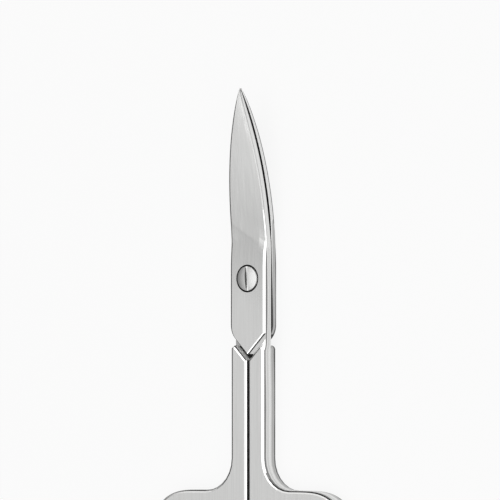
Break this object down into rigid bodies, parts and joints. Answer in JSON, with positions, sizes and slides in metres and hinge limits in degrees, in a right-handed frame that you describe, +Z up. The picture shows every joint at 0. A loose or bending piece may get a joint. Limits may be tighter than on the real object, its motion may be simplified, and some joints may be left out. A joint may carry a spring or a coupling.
{
  "type": "nail scissors",
  "caption": "Curved-blade nail scissors: two crossed steel halves with finger rings, turning on a slotted pivot screw.",
  "frame": {"origin": "centre of the footprint of the closed scissors on the flat underside of the handles", "axes": "+Y from the finger rings to the blade tips, +Z up through the pivot to the screw head's side, +X toward the handle of the front half"},
  "size_m": [0.0422, 0.0936, 0.0057],
  "materials": {
    "satin_steel_front": "satin ground stainless steel with polished round edges",
    "satin_steel_rear": "satin ground stainless steel with polished round edges",
    "polished_screw": "turned and polished stainless steel"
  },
  "bodies": {
    "rear": {"rear_half": "satin_steel_rear", "pivot_screw": "polished_screw"},
    "front": {"front_half": "satin_steel_front"}
  },
  "joints": [
    {"name": "scissor_pivot", "type": "hinge", "parent": "rear", "child": "front", "pos_m": [0, 0.0151, 0.00175], "axis": [0, 0, 1], "range_deg": [0, 135]}
  ]
}
